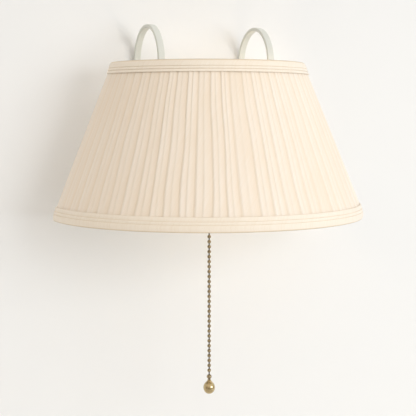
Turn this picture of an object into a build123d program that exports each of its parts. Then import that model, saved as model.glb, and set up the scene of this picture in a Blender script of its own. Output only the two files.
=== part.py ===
from build123d import *
import os
from math import acos, asin, atan, cos, degrees, radians, sin, sqrt

# Hook-over wall light with a half-round pleated fabric shade, in millimetres.
# X runs to the right and Y back into the panel that the light hangs on. Z is up.
# z = 0 is the seat under the two hooks' arches and y = 0 is the panel's front face.

os.makedirs("parts", exist_ok=True)

# Clearances
slip = 0.1              # round a piece that slides, turns or is put in by hand
thread_fit = 0.05       # between a thread's outside and the bore that it turns in
layer_gap = 0.1         # between the layers of the shade

# Shade: a half cone, with short straight returns back to the panel
shade_height = 134.7
seat_to_rim = 30.0      # top rim below the hooks' seat
side_return = 8.6
top_fold_radius = 84.7      # over the pleats' folds, at the top rim
bottom_fold_radius = 137.1  # at the bottom rim
top_bulge = 0.8         # of the folds, past a straight line from rim to rim, under the top band
bottom_bulge = 3.0      # and over the bottom band

# Pleats
pleat_count = 34
pleat_depth = 2.6       # at the bottom rim, less in proportion above it
fold_place = 0.24       # the fold's place in each pleat's width
crease_place = 0.66     # the shallow crease's place in each pleat's width
crease_reach = 0.30     # and how far out it stands, as a share of the depth
cover_wall = 1.0        # behind the pleats' bottoms
hem_wall = 0.8
hem_width = 9.0
corner_radius = 3.0     # of the cover where it turns in at the panel

# Bands along the rims: each row is a fold's height and thickness, from the rim inwards
top_folds = ((5.3, 1.3), (2.4, 1.0), (2.5, 0.7))
bottom_folds = ((5.9, 1.3), (2.6, 1.0), (3.6, 0.7))
lip_wall = 0.6
rim_round = 0.9         # bevel along the outer edge of each rim

# Liner and wire frame
liner_wall = 0.8
wire_radius = 1.5
ring_corner_radius = 4.0
post_bend_share = 0.5   # the corner posts stand half way round the rings' corners

# Hooks, of rounded flat bar
hook_spacing = 102.2
hook_width = 6.0
hook_thickness = 3.0
hook_edge = 0.8
front_leg_y = -32.75    # middle of the leg inside the shade
rear_leg_y = 30.0       # middle of the leg behind the panel
rear_leg_drop = 80.0
leg_below_screw = 5.5

# Cross bar between the two side ribs
bar_drop = 60.0         # middle of the bar below the hooks' seat
bar_height = 12.0
bar_thickness = 2.0
saddle_wall = 1.6

# Small screws and nuts that hold the hooks and the bracket to the bar
screw_radius = 1.5
screw_head_radius = 2.75
screw_head_height = 1.8
nut_across_flats = 5.5
nut_height = 2.4
screw_past_nut = 0.8
hook_screw_pitch = 6.4
bracket_screw_pitch = 11.0

# Lampholder: its axis is level and runs along X, with the bulb to the right
socket_y = -57.0
socket_z = -101.0
socket_back_x = -45.0   # back end of the cap's hub, against the bracket
hub_radius = 7.5
hub_length = 8.0
hub_neck_radius = 6.2   # of the hub where it is staked into the cap
hub_lip = 0.6
dome_length = 7.5
dome_radius = 14.0
skirt_length = 6.0
cap_radius = 18.0
cap_wall = 0.8
shell_radius = 17.1
shell_wall = 0.6
shell_length = 43.5
shell_lap = 5.0         # of the shell inside the cap's skirt
mouth_bead = 0.6
fibre_wall = 0.6
fibre_setback = 1.0
switch_length = 16.6
contact_sheet = 0.4
screw_shell_bore = 13.2
screw_shell_setback = 2.0
screw_shell_base = 11.5     # radius of the hole in the screw shell's turned-in base
contact_rise = 2.0
contact_width = 5.0
contact_span = 10.0
contact_bend = 2.5      # from the axis to the bend at the contact's foot
contact_crown = 1.25    # and to the bend at its top
terminal_radius = 2.0
terminal_height = 2.2
terminal_angle = 60.0   # of the terminal screws from straight up, to each side

# Bracket, hollow nipple and its bush
bracket_thickness = 2.0
bracket_boss_radius = 11.0
bracket_foot = 24.0
nipple_radius = 4.85
nipple_bore = 3.5
nipple_length = 16.0
nipple_in_hub = 7.5
washer_radius = 8.0
washer_thickness = 1.0
lock_nut_across_flats = 14.0
lock_nut_height = 3.5
bush_flange_radius = 5.8
bush_flange = 2.0
bush_length = 10.0
set_screw_radius = 1.5

# Cord inlet: a grommet through the cross bar
inlet_x = 0.0
inlet_bore = 2.6
inlet_wall = 0.9
inlet_flange_radius = 5.0
inlet_flange = 1.5
inlet_nose = 3.0        # of the grommet behind the bar

# Pull switch: a lever on a pin, drawn down by the chain and raised by a spring
chain_x = -17.6
chain_travel = 5.0
lever_arm = 9.4
lever_width = 4.6
lever_thickness = 0.9
lever_tail = 2.4        # of the lever past the chain's hole
lever_barrel_radius = 1.6
lever_pin_radius = 0.8
lever_hole_radius = 1.1
pivot_drop = 4.6        # of the lever's pin below the lampholder's axis
slot_width = 6.6
slot_clearance = 2.6    # of the slot above the lever's pin and past its two ends
spring_radius = 2.3
spring_wire = 0.25
spring_turns = 5

# Chain bell in the underside of the shell
bell_bore = 2.2
bell_stem_radius = 3.0
bell_flange_radius = 4.2
bell_flange = 0.8
bell_shoulder_radius = 4.6
bell_mouth_radius = 4.8
bell_mouth_bore = 3.6
bell_length = 10.8      # below the shell
bell_flare = 3.6        # height of the flare at the bell's mouth
flange_lift = 0.7       # of the inner flange over the fibre sleeve's lowest line

# Bead chain and pull
bead_radius = 1.6
bead_pitch = 4.26
link_radius = 0.5
bead_count = 46
stem_beads = 2          # bead places that the plain stem through the lever takes up
swing_bead = 7          # the bead just below the bell, where the chain starts to swing
sway_bead = 18          # the bead below the shade's rim, where it sways sideways
connector_radius = 2.1
connector_drop = 5.4    # of the connector's middle below the last bead
pull_radius = 5.0
pull_length = 12.6
pull_belly = 5.6        # of the pull's widest line above its bottom
pull_neck_radius = 1.5
pull_drop = 2.4         # of the pull's top below the connector's middle

# Bulb
cap_shell_radius = 13.1
cap_shell_wall = 0.4
tip_radius = 3.0
tip_height = 1.6
insulator_height = 2.5
insulator_foot_radius = 4.2
insulator_top_radius = 10.8
bulb_cap_length = 22.9
glass_radius = 22.5
glass_wall = 0.8
neck_radius = 12.3
neck_in_cap = 12.5
blend_radius = 12.0
globe_reach = 51.5      # from the lampholder contact to the globe's centre
flare_radius = 11.2
stem_radius = 3.0
stem_length = 26.0
filament_wire = 0.35
filament_half_width = 8.0
filament_bend = 1.0

# ---------------------------------------------------------------- worked out
top_z = -seat_to_rim
bottom_z = top_z - shade_height
top_band_z = top_z - sum(height for height, wall in top_folds)
bottom_band_z = bottom_z + sum(height for height, wall in bottom_folds)
cover_top_z = top_z - lip_wall - layer_gap
cover_bottom_z = bottom_z + lip_wall + layer_gap
cover_back_y = -layer_gap - max(wall for height, wall in top_folds + bottom_folds)
valley_share = 1 - pleat_depth / bottom_fold_radius


def straight_radius(level):
    """Radius on a straight line between the folds at the two rims."""
    share = (level - bottom_z) / shade_height
    return bottom_fold_radius + share * (top_fold_radius - bottom_fold_radius)


def fold_radius(level):
    """Radius over the pleats' folds, which bulge a little above the bottom band."""
    bends = ((bottom_z, 0), (bottom_band_z, bottom_bulge), (top_band_z, top_bulge), (top_z, 0))
    for (low, low_bulge), (high, high_bulge) in zip(bends, bends[1:]):
        if level <= high or high == top_z:
            share = (level - low) / (high - low)
            return straight_radius(level) + low_bulge + share * (high_bulge - low_bulge)


def liner_radius(level):
    """Outer radius of the liner, which runs straight from rim to rim."""
    return straight_radius(level) * valley_share - cover_wall - layer_gap


shade_slope = (bottom_fold_radius - top_fold_radius) * valley_share / shade_height
wire_inset = liner_wall + layer_gap + wire_radius / cos(atan(shade_slope))
ring_top_z = cover_top_z - wire_radius
ring_bottom_z = cover_bottom_z + wire_radius
ring_back_y = cover_back_y - hem_wall - layer_gap - wire_radius


def wire_reach(level):
    """Distance of the frame's wires from the half cone's axis."""
    return liner_radius(level) - wire_inset


# ---------------------------------------------------------------- shade
def d_curve(radius, offset, tail):
    """Half circle, side returns and turned-in back corners, moved out by offset."""
    reach = radius + offset
    turn = corner_radius + offset
    turn_x = radius - corner_radius
    turn_y = cover_back_y - corner_radius
    with BuildLine() as curve:
        CenterArc((0, -side_return), reach, 180, 90)
        CenterArc((0, -side_return), reach, 270, 90)
        for side in (-1, 1):
            Line((side * reach, -side_return), (side * reach, turn_y))
            CenterArc((side * turn_x, turn_y), turn, 0 if side > 0 else 90, 90)
            Line((side * turn_x, turn_y + turn), (side * (turn_x - tail), turn_y + turn))
    return curve.line


def d_strip(level, radius, inner, outer, tail):
    """Face between two such curves, at one level."""
    with BuildSketch(Plane.XY.offset(level)) as strip:
        with BuildLine():
            add(d_curve(radius, inner, tail))
            add(d_curve(radius, outer, tail))
            for side in (-1, 1):
                end_x = side * (radius - corner_radius - tail)
                Line((end_x, cover_back_y + inner), (end_x, cover_back_y + outer))
        make_face()
    return strip.sketch


def pleat_points(radius):
    """Outline of the pleats at one level, from left to right round the half circle."""
    valley = radius * valley_share
    points = []
    for pleat in range(pleat_count):
        for place, reach in ((0, 0), (fold_place, 1), (crease_place, crease_reach)):
            angle = radians((pleat + place) * 180 / pleat_count - 90)
            out = valley + reach * (radius - valley)
            points.append((out * sin(angle), -side_return - out * cos(angle)))
    points.append((valley, -side_return))
    return points


def cover_section(level):
    """Section of the pleated cover, with its hems turned in at the panel."""
    radius = fold_radius(level)
    turn_x = radius - corner_radius
    turn_y = cover_back_y - corner_radius
    inner = radius * valley_share - cover_wall
    hem_x = radius - hem_width
    hem_y = cover_back_y - hem_wall
    folds = pleat_points(radius)
    with BuildSketch(Plane.XY.offset(level)) as section:
        with BuildLine():
            Polyline(*folds)
            for side, start in ((-1, folds[0]), (1, folds[-1])):
                Polyline(start, (side * radius, -side_return), (side * radius, turn_y))
                CenterArc((side * turn_x, turn_y), corner_radius, 0 if side > 0 else 90, 90)
                Polyline(
                    (side * turn_x, cover_back_y),
                    (side * hem_x, cover_back_y),
                    (side * hem_x, hem_y),
                    (side * inner, hem_y),
                    (side * inner, -side_return),
                )
            CenterArc((0, -side_return), inner, 180, 90)
            CenterArc((0, -side_return), inner, 270, 90)
        make_face()
    return section.sketch


with BuildPart() as pleated_cover:
    for low, high in (
        (cover_bottom_z, bottom_band_z),
        (bottom_band_z, top_band_z),
        (top_band_z, cover_top_z),
    ):
        loft([cover_section(low), cover_section(high)], ruled=True)


def liner_section(level):
    """Section of the liner's plain wall."""
    outer = liner_radius(level)
    inner = outer - liner_wall
    end_y = cover_back_y - hem_wall - layer_gap
    with BuildSketch(Plane.XY.offset(level)) as section:
        with BuildLine():
            for radius in (inner, outer):
                CenterArc((0, -side_return), radius, 180, 90)
                CenterArc((0, -side_return), radius, 270, 90)
            for side in (-1, 1):
                Polyline(
                    (side * inner, -side_return),
                    (side * inner, end_y),
                    (side * outer, end_y),
                    (side * outer, -side_return),
                )
        make_face()
    return section.sketch


with BuildPart() as shade_liner:
    loft([liner_section(cover_bottom_z), liner_section(cover_top_z)], ruled=True)


def band(rim_z, inward, folds):
    """Stepped folded band along a rim; inward is 1 where the shade lies above the rim."""
    tiers = []
    start = rim_z
    for height, wall in folds:
        stop = start + inward * height
        inner = layer_gap
        if start == rim_z:
            bevel = rim_z + inward * rim_round
            levels = ((start, wall - rim_round), (bevel, wall), (stop, wall))
        else:
            levels = ((start, wall), (stop, wall))
        for (from_z, from_wall), (to_z, to_wall) in zip(levels, levels[1:]):
            ends = [
                d_strip(from_z, fold_radius(from_z), inner, inner + from_wall, hem_width),
                d_strip(to_z, fold_radius(to_z), inner, inner + to_wall, hem_width),
            ]
            tiers.append(loft(ends, ruled=True, mode=Mode.PRIVATE))
        start = stop
    return tiers


def lip(rim_z, inward):
    """Top of a band, turned over the rim and down to the wire ring's inner side."""
    inner = wire_reach(rim_z) - wire_radius - fold_radius(rim_z)
    ends = []
    for level in (rim_z, rim_z + inward * lip_wall):
        radius = fold_radius(level)
        with BuildSketch(Plane.XY.offset(level)) as strip:
            with BuildLine():
                for reach in (radius + inner, radius + layer_gap):
                    CenterArc((0, -side_return), reach, 180, 90)
                    CenterArc((0, -side_return), reach, 270, 90)
                for side in (-1, 1):
                    Polyline(
                        (side * (radius + inner), -side_return),
                        (side * (radius + inner), cover_back_y - corner_radius),
                        (side * (radius + layer_gap), cover_back_y - corner_radius),
                        (side * (radius + layer_gap), -side_return),
                    )
            make_face()
        ends.append(strip.sketch)
    return loft(ends, ruled=True, mode=Mode.PRIVATE)


with BuildPart() as top_band:
    add(band(top_z, -1, top_folds))
    add(lip(top_z, -1))

with BuildPart() as bottom_band:
    add(band(bottom_z, 1, bottom_folds))
    add(lip(bottom_z, 1))


# ---------------------------------------------------------------- wire frame
def wire_ring(level):
    """Closed D of round wire: half circle, returns, corners and a straight back."""
    reach = wire_reach(level)
    bend_x = reach - ring_corner_radius
    bend_y = ring_back_y - ring_corner_radius
    with BuildPart() as ring:
        with BuildLine(Plane.XY.offset(level)) as route:
            Line((-bend_x, ring_back_y), (bend_x, ring_back_y))
            CenterArc((bend_x, bend_y), ring_corner_radius, 90, -90)
            Line((reach, bend_y), (reach, -side_return))
            CenterArc((0, -side_return), reach, 0, -90)
            CenterArc((0, -side_return), reach, 270, -90)
            Line((-reach, -side_return), (-reach, bend_y))
            CenterArc((-bend_x, bend_y), ring_corner_radius, 180, -90)
        with BuildSketch(Plane(origin=(-bend_x, ring_back_y, level), z_dir=(1, 0, 0))):
            Circle(wire_radius)
        sweep(path=route.wires()[0])
    return ring.part


with BuildPart() as top_ring:
    add(wire_ring(ring_top_z))

with BuildPart() as bottom_ring:
    add(wire_ring(ring_bottom_z))


def rib_point(angle, level):
    """Point on a rib's axis; angle is measured from straight ahead."""
    reach = wire_reach(level)
    return Vector(reach * sin(radians(angle)), -side_return - reach * cos(radians(angle)), level)


def post_point(side, level):
    """Point on a corner post's axis, part way round the rings' corner bend."""
    bend = radians(90 * post_bend_share)
    reach = wire_reach(level) - ring_corner_radius * (1 - cos(bend))
    return Vector(side * reach, ring_back_y - ring_corner_radius * (1 - sin(bend)), level)


bar_z = -bar_drop
bar_back_y = front_leg_y - hook_thickness / 2
bar_middle_y = bar_back_y - bar_thickness / 2
bar_front_y = bar_back_y - bar_thickness
side_rib_angle = degrees(acos((-side_return - bar_middle_y) / wire_reach(bar_z)))
rib_angles = (-side_rib_angle, -side_rib_angle / 3, side_rib_angle / 3, side_rib_angle)


def upright(foot, head, ring_direction):
    """Straight wire between the two rings, butted against both."""
    along = (head - foot).normalized()
    lean = acos(along.dot(ring_direction))
    gap = (wire_radius * (1 + abs(cos(lean))) + slip) / sin(lean)
    with BuildPart() as wire:
        with BuildSketch(Plane(origin=foot + along * gap, z_dir=along)):
            Circle(wire_radius)
        extrude(amount=(head - foot).length - 2 * gap)
    return wire.part


with BuildPart() as shade_ribs:
    for angle in rib_angles:
        tangent = Vector(cos(radians(angle)), sin(radians(angle)), 0)
        add(upright(rib_point(angle, ring_bottom_z), rib_point(angle, ring_top_z), tangent))
    for side in (-1, 1):
        bend = radians(90 * post_bend_share)
        tangent = Vector(-side * sin(bend), cos(bend), 0)
        add(upright(post_point(side, ring_bottom_z), post_point(side, ring_top_z), tangent))

hook_x = {"left_hook": -hook_spacing / 2, "right_hook": hook_spacing / 2}
hook_screw_z = [bar_z - hook_screw_pitch / 2, bar_z + hook_screw_pitch / 2]
hook_screw_spots = [(x, z) for x in hook_x.values() for z in hook_screw_z]
foot_left_x = socket_back_x - bracket_thickness
foot_middle_x = (socket_back_x + foot_left_x + bracket_foot) / 2
bracket_screw_spots = [
    (foot_middle_x - bracket_screw_pitch / 2, bar_z),
    (foot_middle_x + bracket_screw_pitch / 2, bar_z),
]

with BuildPart() as cross_bar:
    ends = [rib_point(side_rib_angle, bar_z + side * bar_height / 2).X for side in (-1, 1)]
    with BuildSketch(Plane.XZ.offset(-bar_front_y)):
        with BuildLine():
            Polyline(
                (-ends[0], bar_z - bar_height / 2),
                (ends[0], bar_z - bar_height / 2),
                (ends[1], bar_z + bar_height / 2),
                (-ends[1], bar_z + bar_height / 2),
                close=True,
            )
        make_face()
    extrude(amount=-bar_thickness)
    for side in (-1, 1):
        middle = rib_point(side * side_rib_angle, bar_z)
        along = (rib_point(side * side_rib_angle, ring_top_z) - middle).normalized()
        outward = Vector(middle.X, middle.Y + side_return, 0).normalized()
        seat = Plane(origin=middle, x_dir=along.cross(outward), z_dir=along)
        saddle_radius = wire_radius + slip + saddle_wall
        with BuildSketch(seat):
            Circle(saddle_radius)
            with Locations((0, -saddle_radius)):
                Rectangle(2 * saddle_radius, 2 * saddle_radius, mode=Mode.SUBTRACT)
        extrude(amount=bar_height / 2, both=True)
        with BuildSketch(seat):
            Circle(wire_radius + slip)
        extrude(amount=bar_height, both=True, mode=Mode.SUBTRACT)
    with BuildSketch(Plane.XZ.offset(-bar_front_y)):
        with Locations(*hook_screw_spots, *bracket_screw_spots):
            Circle(screw_radius + slip)
        with Locations((inlet_x, bar_z)):
            Circle(inlet_bore + inlet_wall + slip)
    extrude(amount=-bar_thickness, mode=Mode.SUBTRACT)


# ---------------------------------------------------------------- hooks
arch_radius = (rear_leg_y - front_leg_y) / 2
arch_y = (rear_leg_y + front_leg_y) / 2
arch_z = hook_thickness / 2 - arch_radius
front_leg_end = hook_screw_z[0] - leg_below_screw
for name, x in hook_x.items():
    with BuildPart() as hook:
        with BuildLine(Plane.YZ.offset(x)) as route:
            Line((rear_leg_y, -rear_leg_drop), (rear_leg_y, arch_z))
            CenterArc((arch_y, arch_z), arch_radius, 0, 90)
            CenterArc((arch_y, arch_z), arch_radius, 90, 90)
            Line((front_leg_y, arch_z), (front_leg_y, front_leg_end))
        with BuildSketch(Plane(origin=(x, rear_leg_y, -rear_leg_drop))):
            RectangleRounded(hook_width, hook_thickness, hook_edge)
        sweep(path=route.wires()[0])
        with BuildSketch(Plane.XZ.offset(-front_leg_y)):
            with Locations(*[(x, z) for z in hook_screw_z]):
                Circle(screw_radius + slip)
        extrude(amount=hook_thickness, both=True, mode=Mode.SUBTRACT)
        for leg_y, tip_z in ((front_leg_y, front_leg_end), (rear_leg_y, -rear_leg_drop)):
            with BuildSketch(Plane.XZ.offset(-leg_y)):
                with Locations((x, tip_z)):
                    Rectangle(2 * hook_width, hook_width)
                with Locations((x, tip_z + hook_width / 2)):
                    Circle(hook_width / 2, mode=Mode.SUBTRACT)
            extrude(amount=hook_thickness, both=True, mode=Mode.SUBTRACT)
    hook.part.label = name
    export_step(hook.part, f"parts/{name}.step")


def screw(x, z, head_y, nut_y, forward):
    """Pan-head screw along Y; forward is 1 where it points away from the panel."""
    length = abs(nut_y - head_y) + nut_height + screw_past_nut
    face = Plane(origin=(x, head_y, z), z_dir=(0, forward, 0))
    with BuildPart() as fastener:
        with BuildSketch(face):
            Circle(screw_head_radius)
        extrude(amount=screw_head_height)
        chamfer(fastener.edges().sort_by(Axis.Y)[-1 if forward > 0 else 0], screw_head_height / 3)
        with BuildSketch(face):
            Circle(screw_radius)
        extrude(amount=-length)
    return fastener.part


def nut(x, z, face_y, forward):
    """Hexagon nut whose seat is at face_y and which stands out towards forward."""
    with BuildPart() as fastener:
        with BuildSketch(Plane(origin=(x, face_y, z), z_dir=(0, forward, 0))):
            RegularPolygon(nut_across_flats / 2, 6, major_radius=False)
            Circle(screw_radius + thread_fit, mode=Mode.SUBTRACT)
        extrude(amount=nut_height)
    return fastener.part


hook_head_y = front_leg_y + hook_thickness / 2
with BuildPart() as hook_screws:
    for x, z in hook_screw_spots:
        add(screw(x, z, hook_head_y, bar_front_y, 1))

with BuildPart() as hook_nuts:
    for x, z in hook_screw_spots:
        add(nut(x, z, bar_front_y, -1))

# ---------------------------------------------------------------- inlet, bracket and nipple
inlet_radius = inlet_bore + inlet_wall
with BuildPart() as cord_inlet:
    with BuildSketch(Plane.XZ.offset(-bar_front_y)):
        with Locations((inlet_x, bar_z)):
            Circle(inlet_flange_radius)
    extrude(amount=inlet_flange)
    with BuildSketch(Plane.XZ.offset(-bar_front_y)):
        with Locations((inlet_x, bar_z)):
            Circle(inlet_radius)
    extrude(amount=-bar_thickness)
    with BuildSketch(Plane.XZ.offset(-bar_back_y)):
        with Locations((inlet_x, bar_z)):
            Circle(inlet_radius + inlet_wall)
    extrude(amount=-inlet_nose)
    rims = cord_inlet.edges().group_by(Axis.Y)
    fillet([*rims[0], *rims[-1]], inlet_wall / 2)
    with BuildSketch(Plane.XZ.offset(-bar_back_y - inlet_nose)):
        with Locations((inlet_x, bar_z)):
            Circle(inlet_bore)
    extrude(amount=inlet_nose + bar_thickness + inlet_flange, both=True, mode=Mode.SUBTRACT)

foot_front_y = bar_front_y - bracket_thickness
with BuildPart() as socket_bracket:
    with BuildSketch(Plane.YZ.offset(foot_left_x)):
        with Locations((socket_y, socket_z)):
            Circle(bracket_boss_radius)
        with Locations((bar_front_y - bracket_thickness * 2, bar_z)):
            Rectangle(bracket_thickness * 4, bar_height)
        make_hull()
        with Locations((socket_y, socket_z)):
            Circle(nipple_radius + slip, mode=Mode.SUBTRACT)
    extrude(amount=bracket_thickness)
    with BuildSketch(Plane.XZ.offset(-foot_front_y)):
        with Locations((foot_left_x + bracket_foot / 2, bar_z)):
            Rectangle(bracket_foot, bar_height)
        with Locations(*bracket_screw_spots):
            Circle(screw_radius + slip, mode=Mode.SUBTRACT)
    extrude(amount=-bracket_thickness)

with BuildPart() as bracket_screws:
    for x, z in bracket_screw_spots:
        add(screw(x, z, foot_front_y, bar_back_y, -1))

with BuildPart() as bracket_nuts:
    for x, z in bracket_screw_spots:
        add(nut(x, z, bar_back_y, 1))


def socket_plane(x):
    """Plane across the lampholder's axis at x, facing the bulb."""
    return Plane(origin=(x, socket_y, socket_z), x_dir=(0, 1, 0), z_dir=(1, 0, 0))


# In a turning profile the first coordinate is X and the second the radius.
turning_plane = Plane(origin=(0, socket_y, socket_z), x_dir=(1, 0, 0), z_dir=(0, -1, 0))
socket_axis = Axis((0, socket_y, socket_z), (1, 0, 0))

nipple_start_x = socket_back_x + nipple_in_hub - nipple_length
with BuildPart() as socket_nipple:
    with BuildSketch(socket_plane(nipple_start_x)):
        Circle(nipple_radius)
        Circle(nipple_bore, mode=Mode.SUBTRACT)
    extrude(amount=nipple_length)

washer_x = foot_left_x - washer_thickness
with BuildPart() as lock_washer:
    with BuildSketch(socket_plane(washer_x)):
        Circle(washer_radius)
        Circle(nipple_radius + slip, mode=Mode.SUBTRACT)
    extrude(amount=washer_thickness)

with BuildPart() as lock_nut:
    with BuildSketch(socket_plane(washer_x - lock_nut_height)):
        RegularPolygon(lock_nut_across_flats / 2, 6, major_radius=False)
        Circle(nipple_radius + thread_fit, mode=Mode.SUBTRACT)
    extrude(amount=lock_nut_height)

with BuildPart() as nipple_bush:
    with BuildSketch(socket_plane(nipple_start_x - bush_flange)):
        Circle(bush_flange_radius)
    extrude(amount=bush_flange)
    with BuildSketch(socket_plane(nipple_start_x)):
        Circle(nipple_bore - thread_fit)
    extrude(amount=bush_length - bush_flange)
    fillet(nipple_bush.edges().group_by(Axis.X)[0], bush_flange / 3)
    with BuildSketch(socket_plane(nipple_start_x - bush_flange)):
        Circle(inlet_bore)
    extrude(amount=bush_length, mode=Mode.SUBTRACT)

# ---------------------------------------------------------------- lampholder
hub_end_x = socket_back_x + hub_length
dome_end_x = hub_end_x + dome_length
skirt_end_x = dome_end_x + skirt_length
shell_start_x = skirt_end_x - shell_lap
mouth_x = shell_start_x + shell_length
inner_cap = cap_radius - cap_wall
hub_middle_x = socket_back_x + hub_length / 2

with BuildPart() as socket_cap:
    with BuildSketch(turning_plane):
        with BuildLine():
            Polyline(
                (hub_end_x, hub_radius),
                (hub_end_x, hub_neck_radius + slip),
                (hub_end_x + cap_wall, hub_neck_radius + slip),
                (hub_end_x + cap_wall, hub_radius - cap_wall),
            )
            RadiusArc(
                (hub_end_x + cap_wall, hub_radius - cap_wall),
                (dome_end_x, inner_cap),
                dome_radius,
            )
            Polyline(
                (dome_end_x, inner_cap),
                (skirt_end_x, inner_cap),
                (skirt_end_x, cap_radius),
                (dome_end_x, cap_radius),
            )
            RadiusArc((dome_end_x, cap_radius), (hub_end_x, hub_radius), -dome_radius)
        make_face()
    revolve(axis=socket_axis)

lip_x = hub_end_x + cap_wall
with BuildPart() as cap_hub:
    with BuildSketch(turning_plane):
        with BuildLine():
            Polyline(
                (socket_back_x, nipple_radius + thread_fit),
                (socket_back_x, hub_radius),
                (hub_end_x, hub_radius),
                (hub_end_x, hub_neck_radius),
                (lip_x, hub_neck_radius),
                (lip_x, hub_neck_radius + hub_lip / 2),
                (lip_x + hub_lip, hub_neck_radius + hub_lip / 2),
                (lip_x + hub_lip, nipple_radius + thread_fit),
                close=True,
            )
        make_face()
    revolve(axis=socket_axis)
    with BuildSketch(Plane(origin=(hub_middle_x, socket_y, socket_z), z_dir=(0, 0, 1))):
        Circle(set_screw_radius + thread_fit)
    extrude(amount=2 * hub_radius, mode=Mode.SUBTRACT)

with BuildPart() as cap_set_screw:
    with BuildSketch(Plane(origin=(hub_middle_x, socket_y, socket_z + nipple_radius + slip))):
        Circle(set_screw_radius)
    extrude(amount=hub_radius - nipple_radius + screw_past_nut)

bell_z = socket_z - shell_radius
chain_hole = Plane(origin=(chain_x, socket_y, socket_z), z_dir=(0, 0, -1))

with BuildPart() as socket_shell:
    with BuildSketch(turning_plane):
        with BuildLine():
            Polyline(
                (shell_start_x, shell_radius - shell_wall),
                (mouth_x, shell_radius - shell_wall),
                (mouth_x, shell_radius + mouth_bead),
                (mouth_x - 2 * mouth_bead, shell_radius + mouth_bead),
                (mouth_x - 3 * mouth_bead, shell_radius),
                (shell_start_x, shell_radius),
                close=True,
            )
        make_face()
    revolve(axis=socket_axis)
    with BuildSketch(chain_hole):
        Circle(bell_stem_radius + slip)
    extrude(amount=2 * shell_radius, mode=Mode.SUBTRACT)

fibre_radius = shell_radius - shell_wall - slip
with BuildPart() as fibre_sleeve:
    with BuildSketch(socket_plane(shell_start_x + fibre_setback)):
        Circle(fibre_radius)
        Circle(fibre_radius - fibre_wall, mode=Mode.SUBTRACT)
    extrude(amount=shell_length - 2 * fibre_setback)
    with BuildSketch(chain_hole):
        Circle(bell_stem_radius + slip)
    extrude(amount=2 * shell_radius, mode=Mode.SUBTRACT)

switch_radius = fibre_radius - fibre_wall - slip
switch_start_x = shell_start_x + fibre_setback
switch_end_x = switch_start_x + switch_length
half_stroke = asin(chain_travel / 2 / lever_arm)
pivot_y = socket_y + lever_arm * (1 + cos(half_stroke)) / 2
pivot_z = socket_z - pivot_drop
flange_z = socket_z - (fibre_radius - fibre_wall) + flange_lift
slot_top_z = pivot_z + lever_arm * sin(half_stroke) + 2 * bead_radius + slot_clearance

with BuildPart() as switch_body:
    with BuildSketch(socket_plane(switch_start_x)):
        Circle(switch_radius)
    extrude(amount=switch_length)
    with BuildSketch(Plane.XY.offset(slot_top_z)):
        slot_back = pivot_y + lever_barrel_radius + slot_clearance
        slot_front = socket_y - lever_tail - slot_clearance
        with Locations((chain_x, (slot_back + slot_front) / 2)):
            Rectangle(slot_width, slot_back - slot_front)
    extrude(amount=-2 * switch_radius, mode=Mode.SUBTRACT)
    with BuildSketch(Plane.XY.offset(flange_z + bell_flange + slip)):
        with Locations((chain_x, socket_y)):
            Circle(bell_flange_radius + slip)
    extrude(amount=-switch_radius, mode=Mode.SUBTRACT)
    pin_length = slot_width + 2 * slot_clearance
    with BuildSketch(Plane(origin=(chain_x, pivot_y, pivot_z), z_dir=(1, 0, 0))):
        Circle(lever_pin_radius + thread_fit)
    extrude(amount=pin_length / 2 + slip, both=True, mode=Mode.SUBTRACT)

with BuildPart() as lever_pin:
    with BuildSketch(Plane(origin=(chain_x, pivot_y, pivot_z), z_dir=(1, 0, 0))):
        Circle(lever_pin_radius)
    extrude(amount=pin_length / 2, both=True)

lever_out = Vector(0, -cos(half_stroke), sin(half_stroke))
lever_up = Vector(0, sin(half_stroke), cos(half_stroke))
lever_plane = Plane(origin=(chain_x, pivot_y, pivot_z), x_dir=lever_out, z_dir=lever_up)
with BuildPart() as switch_lever:
    with BuildSketch(lever_plane):
        with Locations(((lever_arm + lever_tail) / 2, 0)):
            Rectangle(lever_arm + lever_tail, lever_width)
        with Locations((lever_arm, 0)):
            Circle(lever_hole_radius, mode=Mode.SUBTRACT)
    extrude(amount=lever_thickness / 2, both=True)
    with BuildSketch(Plane(origin=(chain_x, pivot_y, pivot_z), z_dir=(1, 0, 0))):
        Circle(lever_barrel_radius)
    extrude(amount=lever_width / 2, both=True)
    with BuildSketch(Plane(origin=(chain_x, pivot_y, pivot_z), z_dir=(1, 0, 0))):
        Circle(lever_pin_radius + thread_fit)
    extrude(amount=lever_width, both=True, mode=Mode.SUBTRACT)

bell_plane = Plane(origin=(chain_x, socket_y, 0), x_dir=(1, 0, 0), z_dir=(0, -1, 0))
chain_axis = Axis((chain_x, socket_y, 0), (0, 0, 1))
bell_mouth_z = bell_z - bell_length
with BuildPart() as chain_bell:
    with BuildSketch(bell_plane):
        with BuildLine():
            Polyline(
                (bell_bore, flange_z + bell_flange),
                (bell_flange_radius, flange_z + bell_flange),
                (bell_flange_radius, flange_z),
                (bell_stem_radius, flange_z),
                (bell_stem_radius, bell_z - slip),
                (bell_shoulder_radius, bell_z - slip),
                (bell_shoulder_radius, bell_z - slip - bell_flange),
                (bell_stem_radius, bell_z - slip - 2 * bell_flange),
                (bell_stem_radius, bell_mouth_z + bell_flare),
            )
            TangentArc((bell_stem_radius, bell_mouth_z + bell_flare),
                       (bell_mouth_radius, bell_mouth_z), tangent=(0, -1))
            Line((bell_mouth_radius, bell_mouth_z), (bell_mouth_bore, bell_mouth_z))
            TangentArc((bell_bore, bell_mouth_z + bell_flare),
                       (bell_mouth_bore, bell_mouth_z), tangent=(0, -1))
            Line((bell_bore, bell_mouth_z + bell_flare), (bell_bore, flange_z + bell_flange))
        make_face()
    revolve(axis=chain_axis)

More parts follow.
